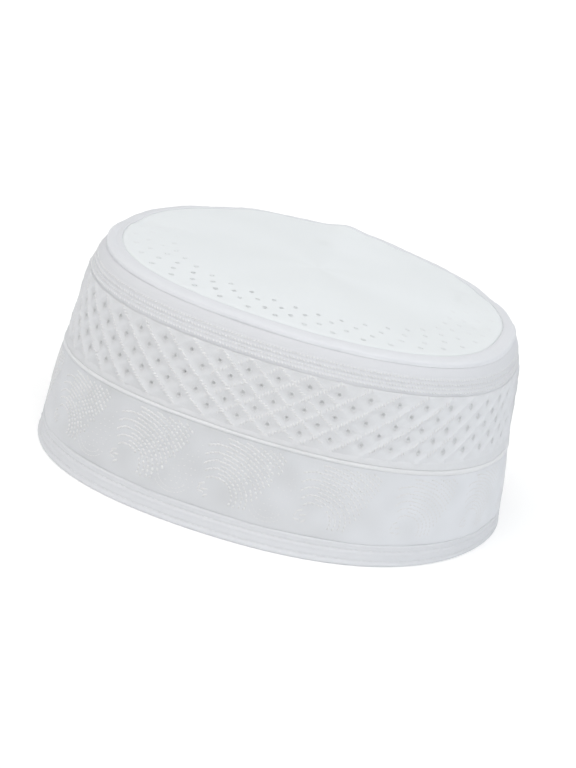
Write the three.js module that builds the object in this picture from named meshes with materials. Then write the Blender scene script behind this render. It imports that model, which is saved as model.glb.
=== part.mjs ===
// A round white kufi cap, standing on its hem. Millimetres, +Z up, the front
// towards -Y. Seven sewn pieces, from the hem up: hem, cuff, piping
// cord, pierced lattice band, stitched band, binding and crown.
import * as THREE from 'three';

// ---- driving dimensions -------------------------------------------------
const HEM_RADIUS = 92.5;      // outside radius at the bottom edge
const CORD_RADIUS = 89.45;    // outside radius at the piping
const LATTICE_TOP_RADIUS = 85.99;
const BAND_TOP_RADIUS = 81.82;
const CROWN_RADIUS = 75.88;   // radius of the seam round the crown panel
const CORD_Z = 37.11;         // heights of the same seams over the table
const LATTICE_TOP_Z = 69.29;
const BAND_TOP_Z = 79.48;
const CROWN_Z = 82.4;
const CROWN_DOME = 3.5;       // rise of the crown's middle over its seam
const SHAPE_Z = 80;           // height at which the upper outline holds in full

const HEM_THICK = 2.4;        // folded, two layers
const CUFF_THICK = 1.8;
const CORD_THICK = 2.3;       // diameter of the piping
const LATTICE_THICK = 2.4;    // padded
const BAND_THICK = 2.0;
const CROWN_THICK = 1.6;
const SEAM_GAP = 0.3;         // clearance between neighbouring pieces
const HEM_HEIGHT = 8.2;

const STEPS = 72;             // facets round the cap

// The cap stands a little out of round. Each row is one harmonic of the outline,
// as shares of the radius at the hem and at the crown.
const OUTLINE = [
  // waves, hemCos, hemSin, crownCos, crownSin
  [2, 0.00842, 0.01344, 0.01714, 0.00192],
  [3, 0.00209, -0.0008, -0.0082, -0.01052],
  [4, -0.00534, 0.01233, -0.00918, 0.00968],
  [5, 0.00434, 0.00438, -0.00106, 0.00269],
  [6, -0.0022, -0.00012, -0.00386, 0.00133],
];
const LEAN = { x: -0.21, y: -0.47 };                        // shift of the crown over the hem
const CROWN_TILT = [-1.568, 1.707, -0.793, 0.177];          // mm, cos t, sin t, cos 2t, sin 2t
const CORD_WAVE = [-1.006, -2.261, -0.684, 0.18];           // the piping's own rise and fall
const CORD_WAVE_END = 43;                                   // height where it has died out
const TAPER = 0.75;                                         // how much narrower the upper part is than its straight wall
const TAPER_FROM = 28, TAPER_TO = 48;                       // heights between which it narrows
const SETTLE = 0.42;                                        // how much lower everything from TAPER_TO up sits
const BACK_SAG = 0.3;                                       // how much lower the crown's edge lies at the back
// Soft corners and dips of the upper edge.
const EDGE = [
  // degrees round, width in degrees, rise, out
  [84.3, 4.6, 1.6, 0],
  [74, 8, 0.55, 0],
  [113, 6, 0.6, 0],
  [167, 6, -0.8, 0],
  [31, 6, -0.6, 0],
  [4, 11, 0, 0.8],
];
// Soft dents in the crown panel.
const DENTS = [
  // x, y, radius, depth
  { x: 11, y: 34, radius: 13, depth: 0.9 },
  { x: 58, y: -8, radius: 10, depth: 0.7 },
  { x: -30, y: 10, radius: 26, depth: 0.5 },
];
const CENTRE = { x: 0.684, y: 0.478 };  // middle of the standing cap's bounding box

// ---- the one shape that every piece follows ------------------------------
function wave4(c, t) {
  return c[0] * Math.cos(t) + c[1] * Math.sin(t) + c[2] * Math.cos(2 * t) + c[3] * Math.sin(2 * t);
}

function warp(r, t, z) {
  const w = z / SHAPE_Z;
  let share = 1;
  for (const [n, hc, hs, cc, cs] of OUTLINE) {
    share += (hc * (1 - w) + cc * w) * Math.cos(n * t) + (hs * (1 - w) + cs * w) * Math.sin(n * t);
  }
  const rise = z < CORD_Z ? Math.max(0, z / CORD_Z)
    : Math.min(1, Math.max(0, (CORD_WAVE_END - z) / (CORD_WAVE_END - CORD_Z)));
  const inner = Math.min(1, r / CROWN_RADIUS);              // the tilt fades to the crown's middle
  const narrow = Math.min(1, Math.max(0, (z - TAPER_FROM) / (TAPER_TO - TAPER_FROM)));
  let lift = 0, out = 0;
  for (const [deg, wide, up, away] of EDGE) {
    const turn = (((t * 180 / Math.PI - deg + 180) % 360) + 360) % 360 - 180;
    const near = Math.exp(-((turn / wide) ** 2)) * w ** 4 * inner ** 4;
    lift += up * near;
    out += away * near;
  }
  const rr = (r - TAPER * narrow * inner) * share + out;
  const sag = BACK_SAG * w * inner * Math.max(0, Math.sin(t)) ** 1.2;
  return [
    rr * Math.cos(t) + LEAN.x * w - CENTRE.x,
    rr * Math.sin(t) + LEAN.y * w - CENTRE.y,
    z + w * inner * wave4(CROWN_TILT, t) + rise * wave4(CORD_WAVE, t) - sag - SETTLE * narrow + lift,
  ];
}

// A closed ring or disc from a profile of [radius, height] points, which runs up
// its outside and down its inside.
function revolve(name, profile, material, dents) {
  const points = profile.map(([r, z]) => new THREE.Vector2(Math.max(r, 0), z));
  const onAxis = profile[0][0] === 0;
  if (!onAxis) points.push(points[0].clone());
  const geometry = new THREE.LatheGeometry(points, STEPS);
  geometry.rotateX(Math.PI / 2);
  const p = geometry.getAttribute('position');
  for (let i = 0; i < p.count; i++) {
    const x = p.getX(i), y = p.getY(i), z = p.getZ(i);
    const r = Math.hypot(x, y);
    const [X, Y, Z] = warp(r, r < 1e-6 ? 0 : Math.atan2(y, x), z);
    let drop = 0;
    if (dents) {
      for (const d of DENTS) {
        const q = ((X - d.x) ** 2 + (Y - d.y) ** 2) / (d.radius ** 2);
        drop += d.depth * Math.exp(-q);
      }
    }
    p.setXYZ(i, X, Y, Z - drop);
  }
  geometry.deleteAttribute('uv');
  geometry.computeVertexNormals();
  const mesh = new THREE.Mesh(geometry, material);
  mesh.name = name;
  return mesh;
}

// Outside radius of the cap's wall at a height.
const WALL = [
  // height, radius
  [0, HEM_RADIUS],
  [CORD_Z, CORD_RADIUS],
  [LATTICE_TOP_Z, LATTICE_TOP_RADIUS],
  [BAND_TOP_Z, BAND_TOP_RADIUS],
];
function wall(z) {
  for (let i = 1; i < WALL.length; i++) {
    if (z <= WALL[i][0] || i === WALL.length - 1) {
      const [z0, r0] = WALL[i - 1], [z1, r1] = WALL[i];
      return r0 + (r1 - r0) * (z - z0) / (z1 - z0);
    }
  }
}

// A strip of cloth standing on the wall between two heights, with a soft belly
// and eased edges.
function strip(z0, z1, thick, belly) {
  const mid = (z0 + z1) / 2, ease = 0.9;
  const out = (z, k) => [wall(z) + k, z];
  const ins = (z, k) => [wall(z) - thick + k, z];
  return [
    out(z0, 0), out(z0 + ease, belly * 0.6), out(mid, belly), out(z1 - ease, belly * 0.6), out(z1, 0),
    ins(z1, 0), ins(mid, belly * 0.4), ins(z0, 0),
  ];
}

function cloth(color, roughness) {
  return new THREE.MeshStandardMaterial({ color, roughness, metalness: 0 });
}
const HEM_CLOTH = cloth('#dfe1e6', 0.85);
const SHEER_CLOTH = cloth('#d6dae2', 0.7);
const PIPING_CLOTH = cloth('#e6e6e8', 0.75);
const PADDED_CLOTH = cloth('#dadce1', 0.85);
const BAND_CLOTH = cloth('#dcdee3', 0.8);
const BINDING_CLOTH = cloth('#e7e9ea', 0.8);
const CROWN_CLOTH = cloth('#e8ebe9', 0.8);

// ---- hem ------------------------------------------------------------------
const hem = revolve('hem_band', [
  [HEM_RADIUS - HEM_THICK, 0],
  [HEM_RADIUS - 0.35, 0],
  [HEM_RADIUS, 0.7],
  [wall(4) + 0.2, 4],
  [wall(HEM_HEIGHT - 0.6) + 0.15, HEM_HEIGHT - 0.6],
  [wall(HEM_HEIGHT) - 0.15, HEM_HEIGHT],
  [wall(HEM_HEIGHT) - HEM_THICK, HEM_HEIGHT],
], HEM_CLOTH);

// ---- cuff -----------------------------------------------------------------
const cordMid = CORD_Z + 0.5;
const cuffTop = cordMid - CORD_THICK / 2 - SEAM_GAP;
const cuff = revolve('cuff_band', strip(HEM_HEIGHT + SEAM_GAP, cuffTop, CUFF_THICK, 0.35), SHEER_CLOTH);

// ---- piping cord ------------------------------------------------------------
const cordProfile = [];
for (let i = 0; i < 8; i++) {
  const a = (i + 0.5) * Math.PI / 4 - Math.PI / 2;
  cordProfile.push([CORD_RADIUS - 0.35 + CORD_THICK / 2 * Math.cos(a), cordMid + CORD_THICK / 2 * Math.sin(a)]);
}
const cord = revolve('piping_cord', cordProfile, PIPING_CLOTH);

// ---- pierced lattice band ---------------------------------------------------
const latticeFoot = cordMid + CORD_THICK / 2 + SEAM_GAP;
const latticeTop = LATTICE_TOP_Z - SEAM_GAP / 2;
const lattice = revolve('lattice_band', strip(latticeFoot, latticeTop, LATTICE_THICK, 0.3), PADDED_CLOTH);

// ---- stitched band -------------------------------------------------------------
const bandFoot = LATTICE_TOP_Z + SEAM_GAP / 2;
const bandTop = BAND_TOP_Z - SEAM_GAP / 2;
const band = revolve('stitched_band', strip(bandFoot, bandTop, BAND_THICK, 0.45), BAND_CLOTH);

// ---- binding, a soft roll over the crown's edge -----------------------------------
const seat = BAND_TOP_Z + SEAM_GAP / 2;
const binding = revolve('crown_binding', [
  [BAND_TOP_RADIUS - 2.0, seat],
  [BAND_TOP_RADIUS - 0.1, seat],
  [BAND_TOP_RADIUS + 0.05, seat + 0.7],
  [BAND_TOP_RADIUS - 0.6, seat + 1.5],
  [BAND_TOP_RADIUS - 2.2, seat + 2.3],
  [BAND_TOP_RADIUS - 4.2, seat + 2.75],
  [CROWN_RADIUS + 0.6, seat + 2.8],
  [CROWN_RADIUS + SEAM_GAP, seat + 2.5],
  [CROWN_RADIUS + SEAM_GAP, seat + 1.5],
  [CROWN_RADIUS + 2.2, seat + 1.2],
], BINDING_CLOTH);

// ---- crown panel ---------------------------------------------------------------------
const crownProfile = [[0, CROWN_Z + CROWN_DOME - CROWN_THICK]];
const crownRings = [0.25, 0.5, 0.72, 0.88];
for (const k of crownRings) crownProfile.push([CROWN_RADIUS * k, CROWN_Z - CROWN_THICK + CROWN_DOME * (1 - k * k)]);
crownProfile.push([CROWN_RADIUS, CROWN_Z - CROWN_THICK + 0.3]);
crownProfile.push([CROWN_RADIUS, CROWN_Z - 0.1]);
crownProfile.push([CROWN_RADIUS * 0.985, CROWN_Z + CROWN_DOME * (1 - 0.985 ** 2)]);
for (const k of crownRings.slice().reverse()) crownProfile.push([CROWN_RADIUS * k, CROWN_Z + CROWN_DOME * (1 - k * k)]);
crownProfile.push([0, CROWN_Z + CROWN_DOME]);
const crown = revolve('crown_top', crownProfile, CROWN_CLOTH, true);

// ---- the cap -----------------------------------------------------------------------------
const sides = new THREE.Group();
sides.add(hem, cuff, cord, lattice, band);
const head = new THREE.Group();
head.add(binding, crown);
const cap = new THREE.Group();
cap.name = 'kufi_cap';
cap.add(sides, head);

export default cap;
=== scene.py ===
import math

import bpy
import numpy as np
from mathutils import Matrix, Vector


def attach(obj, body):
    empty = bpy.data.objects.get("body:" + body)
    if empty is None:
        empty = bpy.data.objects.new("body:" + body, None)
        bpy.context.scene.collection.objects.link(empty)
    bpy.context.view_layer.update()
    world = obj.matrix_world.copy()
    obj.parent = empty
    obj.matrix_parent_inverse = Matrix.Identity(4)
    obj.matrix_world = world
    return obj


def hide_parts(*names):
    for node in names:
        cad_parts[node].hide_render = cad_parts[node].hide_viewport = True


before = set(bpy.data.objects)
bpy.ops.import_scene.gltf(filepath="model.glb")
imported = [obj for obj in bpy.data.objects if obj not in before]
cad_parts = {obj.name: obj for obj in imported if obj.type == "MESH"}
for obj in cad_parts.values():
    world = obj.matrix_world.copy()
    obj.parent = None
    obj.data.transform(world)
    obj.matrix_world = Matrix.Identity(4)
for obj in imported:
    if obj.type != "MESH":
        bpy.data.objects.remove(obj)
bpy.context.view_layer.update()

MM = 0.001
TAU = 2 * math.pi

# ---------------------------------------------------------------------------
# The cap's own shape, the same as the solids', in millimetres.
# ---------------------------------------------------------------------------
HEM_RADIUS, CORD_RADIUS, LATTICE_TOP_RADIUS, BAND_TOP_RADIUS, CROWN_RADIUS = 92.5, 89.45, 85.99, 81.82, 75.88
CORD_Z, LATTICE_TOP_Z, BAND_TOP_Z, CROWN_Z, CROWN_DOME, SHAPE_Z = 37.11, 69.29, 79.48, 82.4, 3.5, 80.0
HEM_HEIGHT, SEAM_GAP = 8.2, 0.3
OUTLINE = [  # waves, hem cos, hem sin, crown cos, crown sin
    (2, 0.00842, 0.01344, 0.01714, 0.00192),
    (3, 0.00209, -0.0008, -0.0082, -0.01052),
    (4, -0.00534, 0.01233, -0.00918, 0.00968),
    (5, 0.00434, 0.00438, -0.00106, 0.00269),
    (6, -0.0022, -0.00012, -0.00386, 0.00133),
]
LEAN = (-0.21, -0.47)
CROWN_TILT = (-1.568, 1.707, -0.793, 0.177)
CORD_WAVE = (-1.006, -2.261, -0.684, 0.18)
CORD_WAVE_END = 43.0
TAPER = 0.75  # how much narrower, in millimetres, the cap is from 48 mm up than its straight wall
TAPER_FROM, TAPER_TO = 28.0, 48.0
SETTLE = 0.42  # how much lower everything from 48 mm up sits
BACK_SAG = 0.3  # how much lower the crown's edge lies at the back
DENTS = [  # x, y, radius, depth
    (11.0, 34.0, 13.0, 0.9),
    (58.0, -8.0, 10.0, 0.7),
    (-30.0, 10.0, 26.0, 0.5),
]
EDGE = [  # soft corners and dips of the upper edge: degrees, width in degrees, rise, out
    (84.3, 4.6, 1.6, 0.0),
    (74.0, 8.0, 0.55, 0.0),
    (113.0, 6.0, 0.6, 0.0),
    (167.0, 6.0, -0.8, 0.0),
    (31.0, 6.0, -0.6, 0.0),
    (4.0, 11.0, 0.0, 0.8),
]
CENTRE = (0.684, 0.478)
WALL = [(0.0, HEM_RADIUS), (CORD_Z, CORD_RADIUS), (LATTICE_TOP_Z, LATTICE_TOP_RADIUS), (BAND_TOP_Z, BAND_TOP_RADIUS)]
WALL_Z = np.array([w[0] for w in WALL])
WALL_R = np.array([w[1] for w in WALL])


def wave4(c, t):
    return c[0] * np.cos(t) + c[1] * np.sin(t) + c[2] * np.cos(2 * t) + c[3] * np.sin(2 * t)


def warp(r, t, z):
    r, t, z = np.broadcast_arrays(np.asarray(r, float), np.asarray(t, float), np.asarray(z, float))
    w = z / SHAPE_Z
    share = np.ones_like(w)
    for n, hc, hs, cc, cs in OUTLINE:
        share = share + (hc * (1 - w) + cc * w) * np.cos(n * t) + (hs * (1 - w) + cs * w) * np.sin(n * t)
    rise = np.where(z < CORD_Z, np.maximum(0, z / CORD_Z), np.clip((CORD_WAVE_END - z) / (CORD_WAVE_END - CORD_Z), 0, 1))
    inner = np.minimum(1, r / CROWN_RADIUS)
    narrow = np.clip((z - TAPER_FROM) / (TAPER_TO - TAPER_FROM), 0, 1)
    lift, out = 0.0, 0.0
    for deg, wide, up, away in EDGE:
        near = np.exp(-((((np.degrees(t) - deg + 180) % 360 - 180) / wide) ** 2)) * w**4 * inner**4
        lift, out = lift + up * near, out + away * near
    rr = (r - TAPER * narrow * inner) * share + out
    sag = BACK_SAG * w * inner * np.maximum(0, np.sin(t)) ** 1.2
    return np.stack(
        [
            rr * np.cos(t) + LEAN[0] * w - CENTRE[0],
            rr * np.sin(t) + LEAN[1] * w - CENTRE[1],
            z + w * inner * wave4(CROWN_TILT, t) + rise * wave4(CORD_WAVE, t) - sag - SETTLE * narrow + lift,
        ],
        -1,
    )


SLOPE_Z = np.array([0.0, 34.0, 41.0, 66.0, 71.5, 80.0])
SLOPE = np.array([-0.082, -0.082, -0.1075, -0.1075, -0.409, -0.409])


def on_wall(t, z, off):
    """A point off millimetres out of the wall's face, at angle t and height z."""
    t, z, off = np.broadcast_arrays(np.asarray(t, float), np.asarray(z, float), np.asarray(off, float))
    s = np.interp(z, SLOPE_Z, SLOPE)
    k = 1 / np.sqrt(1 + s * s)
    r = np.interp(z, WALL_Z, WALL_R)
    return warp(r + off * k, t, z - off * s * k)


def on_crown(t, rho, off):
    """A point off millimetres above the crown panel; rho is 1 at its seam."""
    t, rho, off = np.broadcast_arrays(np.asarray(t, float), np.asarray(rho, float), np.asarray(off, float))
    p = warp(CROWN_RADIUS * rho, t, CROWN_Z + CROWN_DOME * (1 - rho**2))
    drop = np.zeros_like(p[..., 0])
    for x, y, radius, depth in DENTS:
        drop += depth * np.exp(-((p[..., 0] - x) ** 2 + (p[..., 1] - y) ** 2) / radius**2)
    edge = np.clip((rho - 0.965) / 0.035, 0, 1)
    drop += 0.22 * edge**2
    p[..., 2] += off - drop
    return p


def ripple(t, z, seed, low, high, span, n=8):
    """Soft unevenness about 1 high: low to high waves round the cap, and about one in span along z."""
    rng = np.random.default_rng(seed)
    out = np.zeros(np.broadcast(t, z).shape)
    for _ in range(n):
        k = int(rng.integers(low, high + 1))
        q = rng.uniform(-1, 1) * TAU / span
        out = out + np.sin(k * t + q * z + rng.uniform(0, TAU))
    return out / math.sqrt(n)


def bump1(x, half):
    """1 at 0, 0 from half on, smooth."""
    a = np.clip(np.abs(x) / half, 0, 1)
    return 0.5 + 0.5 * np.cos(math.pi * a)


# ---------------------------------------------------------------------------
# Meshes
# ---------------------------------------------------------------------------
ALL = []


def build(name, verts, faces, material, uv=None, tint=None):
    """verts in millimetres; faces a list of index arrays, (n, 3) or (n, 4), each corner with its own uv if given."""
    verts = np.asarray(verts, float)
    tri = np.concatenate([f[:, [0, i, i + 1]] for f in faces for i in range(1, f.shape[1] - 1)])
    a, b, c = (verts[tri[:, i]] for i in range(3))
    if np.einsum("ij,ij->", a, np.cross(b, c)) < 0:
        faces = [f[:, ::-1] for f in faces]
        uv = [u[:, ::-1] for u in uv] if uv is not None else None
    me = bpy.data.meshes.new(name)
    loops = np.concatenate([f.ravel() for f in faces]).astype(np.int32)
    sizes = np.concatenate([np.full(len(f), f.shape[1]) for f in faces]).astype(np.int32)
    starts = np.concatenate([[0], np.cumsum(sizes)[:-1]]).astype(np.int32)
    me.vertices.add(len(verts))
    me.vertices.foreach_set("co", (verts * MM).astype(np.float32).ravel())
    me.loops.add(len(loops))
    me.loops.foreach_set("vertex_index", loops)
    me.polygons.add(len(sizes))
    me.polygons.foreach_set("loop_start", starts)
    me.polygons.foreach_set("loop_total", sizes)
    me.polygons.foreach_set("use_smooth", np.ones(len(sizes), bool))
    if uv is not None:
        layer = me.uv_layers.new(name="cloth")
        flat = np.concatenate([u.reshape(-1, 2) for u in uv]).astype(np.float32)
        layer.data.foreach_set("uv", (flat * 0.01).ravel())
    if tint is not None:
        at = me.attributes.new("tint", "FLOAT", "POINT")
        at.data.foreach_set("value", np.asarray(tint, np.float32))
    me.update(calc_edges=True)
    me.validate()
    me.materials.append(material)
    ob = bpy.data.objects.new(name, me)
    bpy.context.scene.collection.objects.link(ob)
    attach(ob, "root")
    ALL.append(ob)
    return ob


def ring_mesh(name, loop_points, segs, material, tint=None):
    """loop_points(t) gives (segs, n, 3) points in millimetres: n round a closed section."""
    t = np.arange(segs) * TAU / segs
    p = loop_points(t)
    n = p.shape[1]
    verts = p.reshape(-1, 3)
    i = np.arange(segs)[:, None]
    j = np.arange(n)[None, :]
    i2, j2 = (i + 1) % segs, (j + 1) % n
    f = np.stack([i * n + j, i2 * n + j, i2 * n + j2, i * n + j2], -1).reshape(-1, 4)
    around = t * 90.0
    step = 90.0 * TAU / segs
    along = np.concatenate([[0], np.cumsum(np.linalg.norm(np.diff(p[0], axis=0), axis=1))])
    closing = along[-1] + np.linalg.norm(p[0, 0] - p[0, -1])
    a0 = np.broadcast_to(around[:, None], (segs, n))
    b0 = np.broadcast_to(along[None, :], (segs, n))
    b1 = np.broadcast_to(np.concatenate([along[1:], [closing]])[None, :], (segs, n))
    uv = np.stack(
        [np.stack([a0, b0], -1), np.stack([a0 + step, b0], -1), np.stack([a0 + step, b1], -1), np.stack([a0, b1], -1)],
        2,
    ).reshape(-1, 4, 2)
    return build(name, verts, [f], material, uv=[uv], tint=None if tint is None else tint(t).ravel())


def stitches(name, mid, along, normal, length, width, height, material, tint=None):
    """Short raised threads as low humps. mid, along and normal are (n, 3); sizes in millimetres, one number or n."""
    n = len(mid)
    unit = lambda v: v / np.linalg.norm(v, axis=1, keepdims=True)
    along, normal = unit(along), unit(normal)
    side = unit(np.cross(normal, along))
    along = np.cross(side, normal)
    L = np.broadcast_to(np.asarray(length, float), (n,))[:, None]
    W = np.broadcast_to(np.asarray(width, float), (n,))[:, None]
    H = np.broadcast_to(np.asarray(height, float), (n,))[:, None]
    rows = []
    for a, w, h in ((-0.34, 0.82, 0.8), (0.0, 1.0, 1.0), (0.34, 0.82, 0.8)):
        for b, c in ((-0.5, -0.35), (-0.3, 0.75), (0.3, 0.75), (0.5, -0.35)):
            rows.append(mid + along * (a * L) + side * (b * w * W) + normal * (c * h * H))
    rows.append(mid - along * (0.5 * L) - normal * (0.3 * H))
    rows.append(mid + along * (0.5 * L) - normal * (0.3 * H))
    v = np.stack(rows, 1)
    quads = []
    for a in (0, 4):
        for b in range(4):
            c = (b + 1) % 4
            quads.append((a + b, a + c, a + 4 + c, a + 4 + b))
    tris = [(12, (b + 1) % 4, b) for b in range(4)] + [(13, 8 + b, 8 + (b + 1) % 4) for b in range(4)]
    base = (np.arange(n) * 14)[:, None, None]
    q = (base + np.array(quads)[None]).reshape(-1, 4)
    t3 = (base + np.array(tris)[None]).reshape(-1, 3)
    if tint is not None:
        tint = np.repeat(tint, 14)
    return build(name, v.reshape(-1, 3), [q, t3], material, tint=tint)


def wall_frame(t, z, off, du, dz):
    """Middle, direction and normal of a stitch on the wall. du and dz say which way it lies, in millimetres."""
    e = 0.4
    p = on_wall(t, z, off)
    r = np.interp(z, WALL_Z, WALL_R)
    ex = (on_wall(t + e / r, z, off) - on_wall(t - e / r, z, off)) / (2 * e)
    ez = (on_wall(t, z + e, off) - on_wall(t, z - e, off)) / (2 * e)
    nrm = np.cross(ex, ez)
    return p, ex * np.asarray(du)[..., None] + ez * np.asarray(dz)[..., None], nrm


# ---------------------------------------------------------------------------
# Materials
# ---------------------------------------------------------------------------
def cloth(name, base, shade, thread, weave_depth, fuzz, rough, sheen, tint=False, speck=0.02, mottle=0.03):
    """Woven cloth. base and shade are its light and dark colours, thread the pitch in millimetres."""
    m = bpy.data.materials.new(name)
    m.use_nodes = True
    nt = m.node_tree
    N, Lk = nt.nodes, nt.links
    bsdf = N["Principled BSDF"]
    bsdf.inputs["Roughness"].default_value = rough
    bsdf.inputs["Specular IOR Level"].default_value = 0.25
    bsdf.inputs["Sheen Weight"].default_value = sheen
    bsdf.inputs["Sheen Roughness"].default_value = 0.45
    geo = N.new("ShaderNodeTexCoord")
    uvn = N.new("ShaderNodeUVMap")
    uvn.uv_map = "cloth"
    sep = N.new("ShaderNodeSeparateXYZ")
    Lk.new(uvn.outputs["UV"], sep.inputs[0])

    def math_node(op, a, b=None):
        x = N.new("ShaderNodeMath")
        x.operation = op
        for k, v in enumerate((a, b)):
            if v is None:
                continue
            if isinstance(v, (int, float)):
                x.inputs[k].default_value = v
            else:
                Lk.new(v, x.inputs[k])
        return x.outputs[0]

    k = TAU / (thread * 0.01 * 2)
    sx = math_node("SINE", math_node("MULTIPLY", sep.outputs["X"], k))
    sy = math_node("SINE", math_node("MULTIPLY", sep.outputs["Y"], k))
    over = math_node("MULTIPLY", sx, sy)
    weave = math_node("ABSOLUTE", over)
    fine = N.new("ShaderNodeTexNoise")
    fine.inputs["Scale"].default_value = 1400
    fine.inputs["Detail"].default_value = 2
    Lk.new(geo.outputs["Object"], fine.inputs["Vector"])
    broad = N.new("ShaderNodeTexNoise")
    broad.inputs["Scale"].default_value = 45
    broad.inputs["Detail"].default_value = 3
    Lk.new(geo.outputs["Object"], broad.inputs["Vector"])
    ramp = N.new("ShaderNodeValToRGB")
    ramp.color_ramp.elements[0].position = 0.3
    ramp.color_ramp.elements[0].color = (*shade, 1)
    ramp.color_ramp.elements[1].position = 0.62
    ramp.color_ramp.elements[1].color = (*base, 1)
    mixv = math_node("ADD", math_node("MULTIPLY", broad.outputs["Fac"], mottle * 10), math_node("MULTIPLY", weave, speck * 6))
    mixv = math_node("ADD", mixv, 0.5 - mottle * 5 + 0.05)
    Lk.new(mixv, ramp.inputs["Fac"])
    colour = ramp.outputs["Color"]
    # The tint attribute darkens the colour toward a warm grey. On the lattice, crown, cuff and piping this is painted
    # shade: eyelets, cells, a recessed strip, dents and darker stretches round the cap. Some random tone is mixed in.
    if tint:
        at = N.new("ShaderNodeAttribute")
        at.attribute_name = "tint"
        shade_ramp = N.new("ShaderNodeValToRGB")
        shade_ramp.color_ramp.elements[0].position = 0.0
        shade_ramp.color_ramp.elements[0].color = (0.40, 0.385, 0.345, 1)
        shade_ramp.color_ramp.elements[1].position = 1.0
        shade_ramp.color_ramp.elements[1].color = (1, 1, 1, 1)
        Lk.new(at.outputs["Fac"], shade_ramp.inputs["Fac"])
        mul = N.new("ShaderNodeVectorMath")
        mul.operation = "MULTIPLY"
        Lk.new(colour, mul.inputs[0])
        Lk.new(shade_ramp.outputs["Color"], mul.inputs[1])
        colour = mul.outputs[0]
    Lk.new(colour, bsdf.inputs["Base Color"])
    height = math_node("ADD", math_node("MULTIPLY", weave, weave_depth), math_node("MULTIPLY", fine.outputs["Fac"], fuzz))
    b = N.new("ShaderNodeBump")
    b.inputs["Strength"].default_value = 1.0
    b.inputs["Distance"].default_value = 0.001
    Lk.new(height, b.inputs["Height"])
    Lk.new(b.outputs["Normal"], bsdf.inputs["Normal"])
    return m


M_CROWN = cloth("crown_cotton", (0.832, 0.860, 0.873), (0.800, 0.831, 0.844), 0.42, 0.05, 0.03, 0.85, 0.08, tint=True)
M_BINDING = cloth("binding_cotton", (0.748, 0.759, 0.786), (0.720, 0.732, 0.761), 0.40, 0.05, 0.03, 0.8, 0.08)
M_BAND = cloth("band_cotton", (0.700, 0.708, 0.733), (0.672, 0.680, 0.708), 0.42, 0.07, 0.04, 0.85, 0.08)
M_LATTICE = cloth("padded_cotton", (0.762, 0.772, 0.794), (0.730, 0.741, 0.766), 0.46, 0.08, 0.06, 0.88, 0.08, tint=True)
M_CORD = cloth("piping_cotton", (0.790, 0.797, 0.812), (0.760, 0.768, 0.785), 0.38, 0.06, 0.03, 0.8, 0.08, tint=True)
M_CUFF = cloth("sheer_voile", (0.742, 0.757, 0.786), (0.700, 0.714, 0.747), 0.34, 0.05, 0.02, 0.75, 0.12, tint=True)
M_HEM = cloth("hem_cotton", (0.705, 0.714, 0.738), (0.677, 0.687, 0.713), 0.40, 0.07, 0.03, 0.82, 0.08)


def thread_material(name, base, rough, sheen):
    m = bpy.data.materials.new(name)
    m.use_nodes = True
    nt = m.node_tree
    N, Lk = nt.nodes, nt.links
    bsdf = N["Principled BSDF"]
    bsdf.inputs["Roughness"].default_value = rough
    bsdf.inputs["Specular IOR Level"].default_value = 0.45
    bsdf.inputs["Sheen Weight"].default_value = sheen
    geo = N.new("ShaderNodeTexCoord")
    noise = N.new("ShaderNodeTexNoise")
    noise.inputs["Scale"].default_value = 900
    noise.inputs["Detail"].default_value = 1
    Lk.new(geo.outputs["Object"], noise.inputs["Vector"])
    ramp = N.new("ShaderNodeValToRGB")
    ramp.color_ramp.elements[0].position = 0.35
    ramp.color_ramp.elements[0].color = (*[c * 0.95 for c in base], 1)
    ramp.color_ramp.elements[1].position = 0.65
    ramp.color_ramp.elements[1].color = (*base, 1)
    Lk.new(noise.outputs["Fac"], ramp.inputs["Fac"])
    at = N.new("ShaderNodeAttribute")
    at.attribute_name = "tint"
    mul = N.new("ShaderNodeVectorMath")
    mul.operation = "SCALE"
    Lk.new(ramp.outputs["Color"], mul.inputs[0])
    Lk.new(at.outputs["Fac"], mul.inputs["Scale"])
    Lk.new(mul.outputs[0], bsdf.inputs["Base Color"])
    b = N.new("ShaderNodeBump")
    b.inputs["Strength"].default_value = 0.6
    b.inputs["Distance"].default_value = 0.0001
    Lk.new(noise.outputs["Fac"], b.inputs["Height"])
    Lk.new(b.outputs["Normal"], bsdf.inputs["Normal"])
    return m


M_THREAD = thread_material("satin_thread", (0.90, 0.90, 0.91), 0.42, 0.1)
M_THREAD_SOFT = thread_material("matt_thread", (0.85, 0.86, 0.875), 0.6, 0.1)

# ---------------------------------------------------------------------------
# Pierced cloth: lozenges with an eyelet each, in staggered rows
# ---------------------------------------------------------------------------
SIDE = 6  # segments along each side of a lozenge


def pierced(columns, rows, width, height, hole, inner_first):
    """One lozenge of a pierced cloth. Returns its border in (column, row) units and in millimetres, and the rings
    round its eyelet for the outer and inner faces. width and height are a column's and a row's size in millimetres."""
    corner = [(0.5, 0.0), (0.0, -1.0), (-0.5, 0.0), (0.0, 1.0)]
    edge = []
    for k in range(4):
        a, b = np.array(corner[k]), np.array(corner[(k + 1) % 4])
        for i in range(SIDE):
            edge.append(a + (b - a) * i / SIDE)
    edge = np.array(edge)  # one lozenge's border, in (column, row) units
    m = len(edge)
    mm = edge * [width, height]
    ang = np.arctan2(mm[:, 1], mm[:, 0])
    circ = np.stack([np.cos(ang), np.sin(ang)], 1)
    outer_rings = [circ * hole, circ * (hole + 0.16), circ * (hole + 0.42), circ * (hole + 0.8), circ * (hole + 1.25)]
    last = outer_rings[-1]
    for f in (0.3, 0.55, 0.74, 0.88, 1.0):
        outer_rings.append(last * (1 - f) + mm * f)
    inner_rings = [circ * hole, circ * (hole + 0.9), circ * (hole + 0.9) * 0.5 + mm * 0.5, mm]
    return edge, mm, outer_rings, inner_rings


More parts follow.
